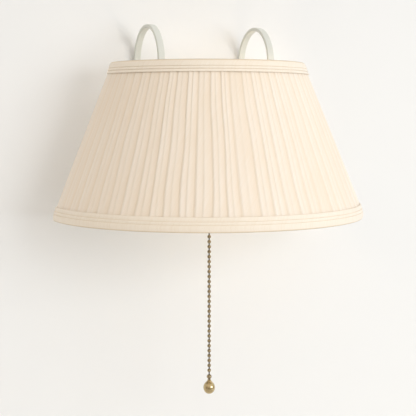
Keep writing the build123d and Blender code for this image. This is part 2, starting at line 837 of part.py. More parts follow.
spring_low_z = flange_z + bell_flange + spring_wire + thread_fit
lever_drop = (spring_radius + spring_wire) * sin(half_stroke) + lever_thickness / 2 / cos(half_stroke)
spring_high_z = pivot_z + chain_travel / 2 - lever_drop - spring_wire - slip
with BuildPart() as return_spring:
    with BuildLine() as coil:
        Helix(
            pitch=(spring_high_z - spring_low_z) / spring_turns,
            height=spring_high_z - spring_low_z,
            radius=spring_radius,
            center=(chain_x, socket_y, spring_low_z),
        )
    with BuildSketch(Plane(origin=coil.line @ 0, z_dir=coil.line % 0)):
        Circle(spring_wire)
    sweep(path=coil.line, is_frenet=True)

turn_steps = 24
coil_points = [coil.line @ (step / spring_turns / turn_steps) for step in range(spring_turns * turn_steps + 1)]
coil_gap = min(
    (coil_points[later] - coil_points[step]).length
    for step in range(len(coil_points))
    for later in range(step + turn_steps // 2, len(coil_points))
) - 2 * spring_wire

screw_shell_x = switch_end_x
screw_shell_end_x = mouth_x - screw_shell_setback
with BuildPart() as screw_shell:
    with BuildSketch(turning_plane):
        with BuildLine():
            Polyline(
                (screw_shell_x, screw_shell_base),
                (screw_shell_x, screw_shell_bore + contact_sheet),
                (screw_shell_end_x, screw_shell_bore + contact_sheet),
                (screw_shell_end_x, screw_shell_bore),
                (screw_shell_x + contact_sheet, screw_shell_bore),
                (screw_shell_x + contact_sheet, screw_shell_base),
                close=True,
            )
        make_face()
    revolve(axis=socket_axis)

contact_x = switch_end_x + contact_rise
with BuildPart() as centre_contact:
    crown_x = contact_x - contact_sheet
    half = [(switch_end_x, contact_span / 2), (switch_end_x, contact_bend), (crown_x, contact_crown)]
    under = half + [(x, -reach) for x, reach in reversed(half)]
    with BuildSketch(turning_plane):
        with BuildLine():
            Polyline(*under, *[(x + contact_sheet, reach) for x, reach in reversed(under)], close=True)
        make_face()
    extrude(amount=contact_width / 2, both=True)

terminal_reach = switch_radius - terminal_radius - slot_clearance
with BuildPart() as terminal_screws:
    for side in (-1, 1):
        spot_y = side * terminal_reach * sin(radians(terminal_angle))
        spot_z = terminal_reach * cos(radians(terminal_angle))
        with BuildSketch(socket_plane(switch_start_x)):
            with Locations((spot_y, spot_z)):
                Circle(terminal_radius)
        extrude(amount=-terminal_height)

# ---------------------------------------------------------------- bulb
tip_x = contact_x + thread_fit
insulator_x = tip_x + tip_height
bulb_cap_x = insulator_x + insulator_height
bulb_cap_end_x = bulb_cap_x + bulb_cap_length
globe_x = contact_x + globe_reach
glass_start_x = bulb_cap_end_x - neck_in_cap

with BuildPart() as bulb_contact:
    with BuildSketch(socket_plane(tip_x)):
        Circle(tip_radius)
    extrude(amount=tip_height)
    fillet(bulb_contact.edges().group_by(Axis.X)[0], tip_height / 2)

with BuildPart() as bulb_insulator:
    with BuildSketch(turning_plane):
        with BuildLine():
            Polyline(
                (insulator_x, 0),
                (insulator_x, insulator_foot_radius),
                (bulb_cap_x, insulator_top_radius),
                (bulb_cap_x, 0),
                close=True,
            )
        make_face()
    revolve(axis=socket_axis)

cap_inner = cap_shell_radius - cap_shell_wall
with BuildPart() as bulb_cap:
    with BuildSketch(turning_plane):
        with BuildLine():
            Polyline(
                (bulb_cap_x, 0),
                (bulb_cap_x, insulator_top_radius),
                (bulb_cap_x + insulator_height, cap_shell_radius),
                (bulb_cap_end_x, cap_shell_radius),
                (bulb_cap_end_x, cap_inner),
                (bulb_cap_x + insulator_height, cap_inner),
                (bulb_cap_x + cap_shell_wall, insulator_top_radius - cap_shell_wall),
                (bulb_cap_x + cap_shell_wall, 0),
                close=True,
            )
        make_face()
    revolve(axis=socket_axis)


def globe_profile(inset):
    """Globe and neck radii, moved in by inset, and the two ends of the arc between them."""
    ball = glass_radius - inset
    neck = neck_radius - inset
    blend = blend_radius + inset
    blend_x = globe_x - sqrt((ball + blend) ** 2 - (neck + blend) ** 2)
    share = ball / (ball + blend)
    meet = (globe_x + (blend_x - globe_x) * share, (neck + blend) * share)
    return ball, neck, (blend_x, neck), meet


with BuildPart() as bulb_glass:
    with BuildSketch(turning_plane):
        with BuildLine():
            outer_ball, outer_neck, outer_turn, outer_meet = globe_profile(0)
            inner_ball, inner_neck, inner_turn, inner_meet = globe_profile(glass_wall)
            Line((glass_start_x, outer_neck), outer_turn)
            TangentArc(outer_turn, outer_meet, tangent=(1, 0))
            RadiusArc(outer_meet, (globe_x + outer_ball, 0), outer_ball)
            Line((globe_x + outer_ball, 0), (globe_x + inner_ball, 0))
            RadiusArc(inner_meet, (globe_x + inner_ball, 0), inner_ball)
            TangentArc(inner_turn, inner_meet, tangent=(1, 0))
            Line(inner_turn, (glass_start_x, inner_neck))
            Line((glass_start_x, inner_neck), (glass_start_x, outer_neck))
        make_face()
    revolve(axis=socket_axis)

stem_end_x = glass_start_x + stem_length
with BuildPart() as bulb_stem:
    with BuildSketch(turning_plane):
        with BuildLine():
            Polyline(
                (glass_start_x, 0),
                (glass_start_x, flare_radius),
                (glass_start_x + glass_wall, flare_radius),
                (glass_start_x + stem_radius + glass_wall, stem_radius),
                (stem_end_x, stem_radius),
                (stem_end_x + stem_radius, 0),
                close=True,
            )
        make_face()
    revolve(axis=socket_axis)

with BuildPart() as bulb_filament:
    lead_z = stem_radius + filament_wire + thread_fit
    with BuildLine(turning_plane) as route:
        FilletPolyline(
            (stem_end_x - stem_radius, -lead_z),
            (stem_end_x, -lead_z),
            (globe_x, -filament_half_width),
            (globe_x, filament_half_width),
            (stem_end_x, lead_z),
            (stem_end_x - stem_radius, lead_z),
            radius=filament_bend,
        )
    with BuildSketch(Plane(origin=route.line @ 0, z_dir=route.line % 0)):
        Circle(filament_wire)
    sweep(path=route.line)

# ---------------------------------------------------------------- chain and pull
head_offset = (lever_thickness / 2 + bead_radius + slip) / cos(half_stroke)
chain_start_z = pivot_z + chain_travel / 2 + head_offset


def bead_z(bead):
    """Height of a bead's centre, counted down from the head over the lever."""
    return chain_start_z - bead * bead_pitch


def bead_chain(beads, wire_high_z, wire_low_z):
    """Beads on a straight link wire, turned as one profile about the chain's axis."""
    with BuildPart() as chain:
        with BuildSketch(bell_plane) as profile:
            with Locations(*[(0, bead_z(bead)) for bead in beads]):
                Circle(bead_radius)
            with Locations((0, (wire_high_z + wire_low_z) / 2)):
                Rectangle(2 * link_radius, wire_high_z - wire_low_z)
            with Locations((-bead_radius, (wire_high_z + wire_low_z) / 2)):
                length = wire_high_z - wire_low_z + 4 * bead_radius
                Rectangle(2 * bead_radius, length, mode=Mode.SUBTRACT)
        revolve(axis=chain_axis)
    return chain.part


link_start = bead_radius + slip
with BuildPart() as chain_top:
    beads = [0] + list(range(stem_beads, swing_bead + 1))
    add(bead_chain(beads, bead_z(0), bead_z(swing_bead)))

with BuildPart() as chain_upper:
    beads = range(swing_bead + 1, sway_bead + 1)
    add(bead_chain(beads, bead_z(swing_bead) - link_start, bead_z(sway_bead)))

connector_z = bead_z(bead_count - 1) - connector_drop
with BuildPart() as chain_lower:
    beads = range(sway_bead + 1, bead_count)
    link_end_z = connector_z + connector_radius + slip
    add(bead_chain(beads, bead_z(sway_bead) - link_start, link_end_z))

pull_top_z = connector_z - pull_drop
pull_bottom_z = pull_top_z - pull_length
with BuildPart() as chain_connector:
    with BuildSketch(bell_plane):
        with Locations((0, connector_z)):
            Circle(connector_radius)
        with Locations((0, (connector_z + pull_top_z) / 2)):
            Rectangle(2 * link_radius, connector_z - pull_top_z)
        with Locations((-connector_radius, connector_z)):
            Rectangle(2 * connector_radius, 2 * (connector_z - pull_bottom_z), mode=Mode.SUBTRACT)
    revolve(axis=chain_axis)

with BuildPart() as pull_knob:
    with BuildSketch(bell_plane):
        with BuildLine():
            widest_z = pull_bottom_z + pull_belly
            shoulder_z = pull_top_z - pull_neck_radius / 2
            Line((0, pull_top_z), (pull_neck_radius, pull_top_z))
            Line((pull_neck_radius, pull_top_z), (pull_neck_radius, shoulder_z))
            Spline(
                (pull_neck_radius, shoulder_z),
                (pull_radius, widest_z),
                tangents=((2, -3), (0, -1)),
            )
            EllipticalCenterArc((0, widest_z), pull_radius, pull_belly, start_angle=-90, arc_size=90)
            Line((0, pull_bottom_z), (0, pull_top_z))
        make_face()
    revolve(axis=chain_axis)

# ---------------------------------------------------------------- files
pieces = {
    "pleated_cover": pleated_cover,
    "shade_liner": shade_liner,
    "top_band": top_band,
    "bottom_band": bottom_band,
    "top_ring": top_ring,
    "bottom_ring": bottom_ring,
    "shade_ribs": shade_ribs,
    "cross_bar": cross_bar,
    "hook_screws": hook_screws,
    "hook_nuts": hook_nuts,
    "socket_bracket": socket_bracket,
    "bracket_screws": bracket_screws,
    "bracket_nuts": bracket_nuts,
    "socket_nipple": socket_nipple,
    "lock_washer": lock_washer,
    "lock_nut": lock_nut,
    "nipple_bush": nipple_bush,
    "cord_inlet": cord_inlet,
    "cap_hub": cap_hub,
    "socket_cap": socket_cap,
    "cap_set_screw": cap_set_screw,
    "socket_shell": socket_shell,
    "fibre_sleeve": fibre_sleeve,
    "switch_body": switch_body,
    "lever_pin": lever_pin,
    "switch_lever": switch_lever,
    "return_spring": return_spring,
    "chain_bell": chain_bell,
    "screw_shell": screw_shell,
    "centre_contact": centre_contact,
    "terminal_screws": terminal_screws,
    "bulb_contact": bulb_contact,
    "bulb_insulator": bulb_insulator,
    "bulb_cap": bulb_cap,
    "bulb_glass": bulb_glass,
    "bulb_stem": bulb_stem,
    "bulb_filament": bulb_filament,
    "chain_top": chain_top,
    "chain_upper": chain_upper,
    "chain_lower": chain_lower,
    "chain_connector": chain_connector,
    "pull_knob": pull_knob,
}
for name, piece in pieces.items():
    piece.part.label = name
    export_step(piece.part, f"parts/{name}.step")

print("chain from", round(chain_start_z, 2), "to", round(pull_bottom_z, 2))
print("least gap between the return spring's turns", round(coil_gap, 2))
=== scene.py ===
import math
import random

import bpy
import numpy as np
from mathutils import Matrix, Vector


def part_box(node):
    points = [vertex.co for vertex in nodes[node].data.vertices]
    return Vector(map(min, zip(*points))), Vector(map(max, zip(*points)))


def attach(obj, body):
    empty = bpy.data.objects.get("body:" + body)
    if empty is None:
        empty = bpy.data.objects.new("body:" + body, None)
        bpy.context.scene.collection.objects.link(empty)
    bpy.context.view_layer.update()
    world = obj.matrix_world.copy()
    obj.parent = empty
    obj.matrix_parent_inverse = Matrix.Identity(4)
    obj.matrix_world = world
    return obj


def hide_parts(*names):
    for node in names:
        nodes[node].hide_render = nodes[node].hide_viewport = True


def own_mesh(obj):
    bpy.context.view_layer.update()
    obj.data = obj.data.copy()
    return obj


# Hook-over wall light with a pleated cloth shade, in metres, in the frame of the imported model:
# X to the right, Y back into the panel, Z up.

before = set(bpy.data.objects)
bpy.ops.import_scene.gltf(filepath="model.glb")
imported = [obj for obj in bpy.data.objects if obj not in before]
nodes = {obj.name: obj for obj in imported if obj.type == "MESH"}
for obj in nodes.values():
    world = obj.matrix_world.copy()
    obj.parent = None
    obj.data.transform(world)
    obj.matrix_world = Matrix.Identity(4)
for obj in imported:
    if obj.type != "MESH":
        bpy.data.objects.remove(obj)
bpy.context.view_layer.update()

MM = 0.001

# ---------------------------------------------------------------- camera
CAMERA_PLACE = (-0.3619, -0.8761, -0.0717)
CAMERA_YAW = math.radians(22.735)
CAMERA_PITCH = math.radians(5.240)

camera_data = bpy.data.cameras.new("camera")
camera_data.lens = 91.59
camera_data.sensor_width = 36.0
camera_data.clip_start = 0.01
camera = bpy.data.objects.new("camera", camera_data)
bpy.context.scene.collection.objects.link(camera)
camera.location = CAMERA_PLACE
look = Vector((
    math.sin(CAMERA_YAW) * math.cos(CAMERA_PITCH),
    math.cos(CAMERA_YAW) * math.cos(CAMERA_PITCH),
    -math.sin(CAMERA_PITCH),
))
camera.rotation_mode = "QUATERNION"
camera.rotation_quaternion = look.to_track_quat("-Z", "Y")
bpy.context.scene.camera = camera


# ---------------------------------------------------------------- node trees
class Tree:
    """A material's or the world's nodes, made one call at a time."""

    def __init__(self, tree):
        self.tree = tree
        tree.nodes.clear()

    def node(self, kind, sets=None, **inputs):
        """Adds a node. sets holds its properties and inputs its sockets, by name or by number as i0, i1."""
        made = self.tree.nodes.new(kind)
        for key, value in (sets or {}).items():
            setattr(made, key, value)
        for key, value in inputs.items():
            numbered = key[0] == "i" and key[1:].isdigit()
            socket = made.inputs[int(key[1:]) if numbered else key.replace("_", " ")]
            if isinstance(value, bpy.types.NodeSocket):
                self.tree.links.new(value, socket)
            else:
                socket.default_value = value
        return made

    def math(self, operation, first, second=0.0):
        return self.node("ShaderNodeMath", {"operation": operation}, i0=first, i1=second).outputs[0]

    def mix(self, factor, first, second, blend="MIX"):
        """Colours first and second, mixed by factor."""
        made = self.tree.nodes.new("ShaderNodeMix")
        made.data_type = "RGBA"
        made.blend_type = blend
        for index, value in ((0, factor), (6, first), (7, second)):
            if isinstance(value, bpy.types.NodeSocket):
                self.tree.links.new(value, made.inputs[index])
            else:
                made.inputs[index].default_value = value
        return made.outputs[2]

    def ramp(self, value, low, high, start=0.0, stop=1.0):
        """value mapped from low..high to start..stop, and held there."""
        return self.node(
            "ShaderNodeMapRange", i0=value, i1=low, i2=high, i3=start, i4=stop
        ).outputs[0]

    def noise(self, place, scale, detail=3.0, roughness=0.5):
        made = self.node("ShaderNodeTexNoise", Vector=place, Scale=scale, Detail=detail, Roughness=roughness)
        return made.outputs[0]

    def stretched(self, place, scale):
        """Coordinates scaled by three numbers."""
        return self.node("ShaderNodeMapping", Vector=place, Scale=scale).outputs[0]

    def bump(self, height, distance, strength=1.0, normal=None):
        made = self.node("ShaderNodeBump", Height=height, Distance=distance, Strength=strength)
        if normal is not None:
            self.tree.links.new(normal, made.inputs["Normal"])
        return made.outputs[0]

    def finish(self, surface, kind="ShaderNodeOutputMaterial"):
        out = self.tree.nodes.new(kind)
        self.tree.links.new(surface, out.inputs["Surface"])


def colour(red, green, blue):
    """Linear colour from 0 to 255 display values."""
    line = []
    for value in (red, green, blue):
        share = value / 255
        line.append(share / 12.92 if share <= 0.04045 else ((share + 0.055) / 1.055) ** 2.4)
    return (*line, 1.0)


def material(name):
    made = bpy.data.materials.new(name)
    made.use_nodes = True
    return made, Tree(made.node_tree)


def assign(made, *names):
    """Gives CAD nodes their material."""
    for name in names:
        mesh = nodes[name].data
        mesh.materials.clear()
        mesh.materials.append(made)


# ---------------------------------------------------------------- cloth
def cloth(name, base, deep, through, weave=0.35 * MM):
    """Cloth with a fine plain weave along the piece's own map and slubs.

    Its colour carries painted shade, read from the mesh's shade attribute. It goes from base on a fold, where
    that is 1, towards deep in a valley, where it is 0, and darker still down to -1. This paints shade in the
    pleats' valleys, along the bands' fold edges and under their rims.
    """
    made, t = material(name)
    place = t.node("ShaderNodeUVMap", {"uv_map": "cut"}).outputs[0]
    parts = t.node("ShaderNodeSeparateXYZ", Vector=place)
    turn = 2 * math.pi / weave
    across = t.math("SINE", t.math("MULTIPLY", parts.outputs[0], turn))
    along = t.math("SINE", t.math("MULTIPLY", parts.outputs[1], turn))
    threads = t.math("MULTIPLY", across, along)
    slubs = t.noise(t.stretched(place, (900.0, 60.0, 1.0)), 1.0, 2.0)
    cross_slubs = t.noise(t.stretched(place, (60.0, 900.0, 1.0)), 1.0, 2.0)
    drift = t.noise(place, 9.0, 2.0)
    fold_shade = t.node("ShaderNodeAttribute", {"attribute_name": "fold_shade"}).outputs["Fac"]
    # painted shade: towards deep in the valleys, where the shade attribute is low
    tint = t.mix(t.ramp(fold_shade, -1.0, 1.0, 0.9, 0.0), base, deep)
    # painted shadow: darker still under the rims and along the bands' fold edges, where the attribute is
    # below 0
    tint = t.mix(t.ramp(fold_shade, -1.0, 0.0, 0.6, 0.0), tint, tuple(0.45 * c for c in deep[:3]) + (1.0,))
    # slubs and drift: the cloth's own uneven tone
    tint = t.mix(t.ramp(slubs, 0.35, 0.75, 0.0, 0.22), tint, deep)
    tint = t.mix(t.ramp(drift, 0.35, 0.7, 0.0, 0.16), tint, deep)
    height = t.math("ADD", t.math("MULTIPLY", threads, 0.35), t.math("ADD", slubs, cross_slubs))
    normal = t.bump(height, 0.06 * MM, 0.6)
    front = t.node(
        "ShaderNodeBsdfPrincipled", Base_Color=tint, Roughness=0.72, Normal=normal,
        Sheen_Weight=0.25, Sheen_Roughness=0.5, Specular_IOR_Level=0.3,
    )
    back = t.node("ShaderNodeBsdfTranslucent", Color=deep, Normal=normal)
    t.finish(t.node("ShaderNodeMixShader", i0=through, i1=front.outputs[0], i2=back.outputs[0]).outputs[0])
    return made


pleat_cloth = cloth("pleat_cloth", colour(252, 243, 232), colour(240, 216, 183), 0.10)
band_cloth = cloth("band_cloth", colour(250, 240, 226), colour(230, 207, 174), 0.06)

# ---------------------------------------------------------------- shade's shape
TOP_Z, BOTTOM_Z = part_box("top_band")[1][2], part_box("bottom_band")[0][2]
TOP_BAND_Z, BOTTOM_BAND_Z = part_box("top_band")[0][2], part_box("bottom_band")[1][2]
TOP_RADIUS, BOTTOM_RADIUS = 84.7 * MM, 137.1 * MM
TOP_BULGE, BOTTOM_BULGE = 0.8 * MM, 3.0 * MM
BULGE_EASE = 1.2        # how the bulge fades from the bottom band up to the top band
SIDE_RETURN = 8.6 * MM  # of the D's straight sides, behind the half circle
BACK_Y = -1.4 * MM
CORNER = 3.0 * MM
HEM = 9.0 * MM          # turned in behind the shade at each side


def shade_radius(z):
    """Radius over the folds: a straight slope with a soft bulge, fullest at the bottom band's upper edge."""
    share = (z - BOTTOM_Z) / (TOP_Z - BOTTOM_Z)
    straight = BOTTOM_RADIUS + share * (TOP_RADIUS - BOTTOM_RADIUS)
    if z < BOTTOM_BAND_Z:
        bulge = BOTTOM_BULGE * math.sin((z - BOTTOM_Z) / (BOTTOM_BAND_Z - BOTTOM_Z) * math.pi / 2)
    elif z > TOP_BAND_Z:
        bulge = TOP_BULGE * (TOP_Z - z) / (TOP_Z - TOP_BAND_Z)
    else:
        up = (z - BOTTOM_BAND_Z) / (TOP_BAND_Z - BOTTOM_BAND_Z)
        bulge = BOTTOM_BULGE + (TOP_BULGE - BOTTOM_BULGE) * up ** BULGE_EASE
    return straight + bulge


def outline(radius, steps):
    """Places and outward directions round the D for steps of (part, share or angle), from hem to hem."""
    places = []
    for part, share in steps:
        side = -1 if part in ("left_hem", "left_corner", "left_return") else 1
        if part.endswith("hem"):
            x = side * (radius - CORNER - HEM * share)
            places.append((x, BACK_Y, 0.0, 1.0))
        elif part.endswith("corner"):
            turn = share * math.pi / 2
            out = (side * math.cos(turn), math.sin(turn))
            places.append((
                side * (radius - CORNER) + CORNER * out[0], BACK_Y - CORNER + CORNER * out[1], *out,
            ))
        elif part.endswith("return"):
            y = -SIDE_RETURN + share * (BACK_Y - CORNER + SIDE_RETURN)
            places.append((side * radius, y, float(side), 0.0))
        else:
            out = (math.sin(share), -math.cos(share))
            places.append((radius * out[0], -SIDE_RETURN + radius * out[1], *out))
    return places


def path_steps(angles, hem_steps=5, corner_steps=6, return_steps=3):
    """The steps for outline(), with the given angles round the half circle."""
    left = [("left_hem", 1 - i / hem_steps) for i in range(hem_steps)]
    left += [("left_corner", 1 - i / corner_steps) for i in range(corner_steps)]
    left += [("left_return", 1 - i / return_steps) for i in range(return_steps)]
    right = [(part.replace("left", "right"), share) for part, share in reversed(left)]
    return left + [("round", a) for a in angles] + right


def grid_piece(name, rows, made, closed=False, cut=None, fold_shade=None, caps=False):
    """Mesh over a grid of points, facing the way along a row crossed with the way to the next row.

    closed joins the last row to the first, and caps closes the two ends of that tube. cut is the map in
    metres, and the last argument is the painted-shade attribute that the cloth's colour follows, darker in
    valleys and under edges.
    """
    rows = np.array(rows)
    count, width = rows.shape[:2]
    faces = []
    for row in range(count if closed else count - 1):
        here, after = row * width, (row + 1) % count * width
        for column in range(width - 1):
            faces.append((here + column, here + column + 1, after + column + 1, after + column))
    if caps:
        faces.append(tuple(row * width for row in reversed(range(count))))
        faces.append(tuple(row * width + width - 1 for row in range(count)))
    mesh = bpy.data.meshes.new(name)
    mesh.from_pydata(rows.reshape(-1, 3).tolist(), [], faces)
    if cut is not None:
        layer = mesh.uv_layers.new(name="cut")
        flat = np.array(cut).reshape(-1, 2)
        loops = np.zeros(len(mesh.loops), int)
        mesh.loops.foreach_get("vertex_index", loops)
        layer.data.foreach_set("uv", flat[loops].ravel().astype(np.float32))
    # painted shade, one value per point, read by the cloth material
    if fold_shade is not None:
        layer = mesh.attributes.new("fold_shade", "FLOAT", "POINT")
        layer.data.foreach_set("value", np.array(fold_shade).ravel().astype(np.float32))
    mesh.polygons.foreach_set("use_smooth", [True] * len(mesh.polygons))
    mesh.materials.append(made)
    mesh.validate()
    mesh.update()
    made_object = bpy.data.objects.new(name, mesh)
    bpy.context.scene.collection.objects.link(made_object)
    return made_object


# ---------------------------------------------------------------- pleated cover
PLEATS = 34
PLEAT_DEPTH = 0.95 * MM
PER_PLEAT, LEVELS = 22, 56      # points across a pleat, and up the cover
FOLD_AT = 0.15                  # where a pleat's fold is, as a share of its width from the left
CREASE_AT = (0.46, 0.57)        # its crease's valley and ridge
CREASE_HEIGHT = 0.58
CREASE_DIP, CREASE_RISE = 0.16, 0.26
EDGE_SHIFT, EDGE_DRIFT = 0.13, 0.07     # of the pleats' edges, in pleats: each one's own, and up its length
LEAST_FOLD, FOLD_DRIFT = 0.72, 0.14
LEAST_CREASE, MOST_CREASE, CREASE_DRIFT = 0.6, 1.2, 0.3
GATHER_TOP, GATHER_BOTTOM = 7 * MM, 6 * MM      # how far the bands' gathers reach
GATHER_DEPTH = 0.07             # of the gathers, in pleat depths
RIM_GAP = 0.7 * MM              # between the cover's edge and the rim, inside the bands
CLOTH_THICKNESS = 0.3 * MM


def wander(seed, count, size, knots=5):
    """Smooth random curve of count values within about plus or minus size."""
    source = random.Random(seed)
    heights = np.array([source.uniform(-size, size) for _ in range(knots)])
    places = np.linspace(0, knots - 1, count)
    low = np.minimum(places.astype(int), knots - 2)
    share = places - low
    share = share * share * (3 - 2 * share)
    return heights[low] * (1 - share) + heights[low + 1] * share


def pleat_height(t, crease):
    """Height of a pleat's section at t from 0 to 1: a steep fold, then a slope with a small crease across it.

    t and crease are arrays. The height runs from 0 in the valley to 1 on the fold.
    """
    knots = (
        (0.0, 0.0 * crease),
        (FOLD_AT, 1.0 + 0.0 * crease),
        (CREASE_AT[0], CREASE_HEIGHT - CREASE_DIP * crease),
        (CREASE_AT[1], CREASE_HEIGHT + CREASE_RISE * crease),
        (1.0, 0.0 * crease),
    )
    height = np.zeros_like(t)
    for (start, low), (stop, high) in zip(knots, knots[1:]):
        share = np.clip((t - start) / (stop - start), 0, 1)
        if (start, stop) == CREASE_AT:
            share = share * share * (3 - 2 * share)
        height = np.where((t >= start) & (t <= stop), low + (high - low) * share, height)
    return height


def uneven_pleats():
    """Each pleat's left edge, in pleats, and the strengths of its fold and crease, at every level."""
    source = random.Random(11)
    edges = []
    for pleat in range(PLEATS + 1):
        drift = wander(100 + pleat, LEVELS, EDGE_DRIFT)
        edges.append(pleat + drift + source.uniform(-EDGE_SHIFT, EDGE_SHIFT))
    edges = np.array(edges)
    edges[0], edges[-1] = 0.0, PLEATS
    strengths = []
    for pleat in range(PLEATS):
        strengths.append(source.uniform(LEAST_FOLD, 1.0) + wander(200 + pleat, LEVELS, FOLD_DRIFT))
    creases = []
    for pleat in range(PLEATS):
        own = source.uniform(LEAST_CREASE, MOST_CREASE)
        creases.append(own + wander(300 + pleat, LEVELS, CREASE_DRIFT))
    return edges, np.array(strengths), np.clip(creases, 0, MOST_CREASE + 0.1)


def make_cover():
    """The cloth over the liner, with its longest and mean width laid flat and its height."""
    low, high = BOTTOM_Z + RIM_GAP, TOP_Z - RIM_GAP
    count = PLEATS * PER_PLEAT + 1
    places = np.linspace(0, PLEATS, count)
    steps = path_steps(list(np.radians(places / PLEATS * 180 - 90)))
    first = next(i for i, (part, value) in enumerate(steps) if part == "round")
    edges, strengths, creases = uneven_pleats()
    wisps = wander(500, count, 1.0, 150) + 0.6 * wander(501, count, 1.0, 330)
    ends = np.clip(0.2 + np.minimum(places, PLEATS - places) / 1.5, 0, 1)
    rows, folds, cuts = [], [], []
    for level in range(LEVELS):
        z = low + (high - low) * level / (LEVELS - 1)
        radius = shade_radius(z)
        pleat = np.clip(np.searchsorted(edges[:, level], places, side="right") - 1, 0, PLEATS - 1)
        begin, end = edges[pleat, level], edges[pleat + 1, level]
        t = np.clip((places - begin) / (end - begin), 0, 1)
        height = strengths[pleat, level] * pleat_height(t, creases[pleat, level])
        gather = math.exp(-abs(TOP_BAND_Z - z) / GATHER_TOP)
        gather += 0.5 * math.exp(-abs(z - BOTTOM_BAND_Z) / GATHER_BOTTOM)
        height = 1 - ends + ends * (height + GATHER_DEPTH * gather * wisps)
        depth = PLEAT_DEPTH * (0.5 + 0.5 * radius / BOTTOM_RADIUS)
        outward = np.array(outline(radius, steps))
        # painted shade: about 0.85 (nearly unshaded) on the plain cloth at the sides and hems, and the
        # pleat's height across the pleats, so their valleys are painted darker
        fold_shade_row = np.full(len(steps), 0.85)
        fold_shade_row[first:first + count] = height
        inward = np.full(len(steps), 0.12 * MM)     # of the plain cloth at the sides and hems
        inward[first:first + count] = np.maximum(depth * (1 - height), 0)
        spots = outward[:, :2] - outward[:, 2:] * inward[:, None]
        gone = np.concatenate([[0], np.cumsum(np.hypot(*np.diff(spots, axis=0).T))])
        rows.append(np.column_stack([spots, np.full(len(steps), z)]))
        folds.append(fold_shade_row)
        cuts.append(np.column_stack([gone, np.full(len(steps), z)]))
    piece = grid_piece("shade_cloth", rows, pleat_cloth, cut=cuts, fold_shade=folds)
    thick = piece.modifiers.new("thickness", "SOLIDIFY")
    thick.thickness = CLOTH_THICKNESS
    thick.offset = -1.0
    widths = [line[-1][0] for line in cuts]
    return piece, max(widths), sum(widths) / len(widths), high - low


cover, cover_width, cover_mean, cover_height = make_cover()
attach(cover, "lamp")
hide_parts("pleated_cover")


# ---------------------------------------------------------------- bands
# Each fold of a band, from the rim on, is its height and how far it stands out.
TOP_FOLDS = ((5.3 * MM, 1.3 * MM), (2.4 * MM, 1.0 * MM), (2.5 * MM, 0.7 * MM))
BOTTOM_FOLDS = ((5.9 * MM, 1.3 * MM), (2.6 * MM, 1.0 * MM), (3.6 * MM, 0.7 * MM))
RIM_ROLL = 1.5 * MM         # radius of the bands round the two rims
LAST_STEP = 0.15 * MM       # from the last fold down to the cover
PUFF = 0.16 * MM            # of each fold at its middle
SEAT = 0.12 * MM            # between the cover's folds and the band's back
RIM_WALL = 0.75 * MM        # of the band over the rim
INNER_EDGE = 0.05 * MM      # of the band inside the rim, from the rim's end
SIDE_REACH = 2.5 * MM       # inwards at the sides and hems
SWAY = 0.12 * MM            # of the folds' lines up and down
SWAY_FROM, SWAY_TO = 1.5 * MM, 13 * MM
OPEN_CLOTH = 0.85           # painted-shade attribute on the cloth's open face, nearly unshaded


def band_profile(folds, inner_reach):
    """Closed section of a folded band as (outward offset, distance from the rim, painted-shade attribute)."""
    outer = []
    start = 0.0
    for index, (height, wall) in enumerate(folds):
        stop = start + height
        if index == 0:
            # painted shadow under the rim's roll: the attribute runs from -1 at its underside up to the open
            # cloth's value
            for step in range(9):
                turn = math.pi / 2 * step / 8
                outer.append((
                    wall - RIM_ROLL * (1 - math.sin(turn)), start + RIM_ROLL * (1 - math.cos(turn)),
                    -1.0 + (1 + OPEN_CLOTH) * (step / 8) ** 2,
                ))
        steps = 8
        for step in range(1, steps):
            share = step / steps
            puff = PUFF * math.sin(math.pi * share)
            begin = start + (RIM_ROLL if index == 0 else 0.25 * MM)
            outer.append((wall + puff, begin + (stop - begin) * share * 0.97, OPEN_CLOTH))
        following = folds[index + 1][1] if index + 1 < len(folds) else LAST_STEP
        # painted shade along each fold's under-edge: the attribute drops as the cloth turns into the crease
        for step in range(5):
            turn = math.pi / 2 * step / 4
            outer.append((
                wall - (wall - following + SEAT) * (1 - math.cos(turn)),
                stop - 0.3 * MM * (1 - math.sin(turn)), OPEN_CLOTH - 0.28 * step,
            ))
        start = stop
    inner = (
        (SEAT, start - 0.2 * MM), (SEAT, RIM_WALL), (inner_reach, RIM_WALL), (inner_reach, INNER_EDGE),
    )
    # the band's inner faces take a little painted shade
    return outer + [(*spot, 0.3) for spot in inner]


def make_band(name, rim_z, inward, folds, inner_reach):
    """A folded strip of cloth over a rim, whose section follows the shade's outline, and its length."""
    profile = band_profile(folds, inner_reach)
    angles = [math.radians(-90 + 180 * i / 220) for i in range(221)]
    steps = path_steps(angles, 6, 8, 4)
    sway = wander(900 + int(inward), len(steps), SWAY)
    rows, cuts, fold_shade_rows = [], [], []
    travelled_profile = 0.0
    before = None
    for offset, distance, fold_shade in profile:
        z = rim_z + inward * distance
        places = outline(shade_radius(z), steps)
        line, cut_line, fold_shade_line = [], [], []
        if before is not None:
            travelled_profile += math.hypot(offset - before[0], distance - before[1])
        before = (offset, distance)
        travelled, last = 0.0, None
        for index, ((part, value), (x, y, out_x, out_y)) in enumerate(zip(steps, places)):
            reach = offset
            if offset < 0 and part != "round":
                reach = max(offset, -SIDE_REACH)
            lift = sway[index] if SWAY_FROM < distance < SWAY_TO else 0.0
            point = (x + out_x * reach, y + out_y * reach, z + lift)
            if last is not None:
                travelled += math.hypot(point[0] - last[0], point[1] - last[1])
            last = point
            line.append(point)
            cut_line.append((travelled, travelled_profile))
            fold_shade_line.append(fold_shade)
        rows.append(line)
        cuts.append(cut_line)
        fold_shade_rows.append(fold_shade_line)
    if inward > 0:
        rows, cuts, fold_shade_rows = rows[::-1], cuts[::-1], fold_shade_rows[::-1]
    piece = grid_piece(name, rows, band_cloth, closed=True, cut=cuts, fold_shade=fold_shade_rows, caps=True)
    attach(piece, "lamp")
    return piece, travelled


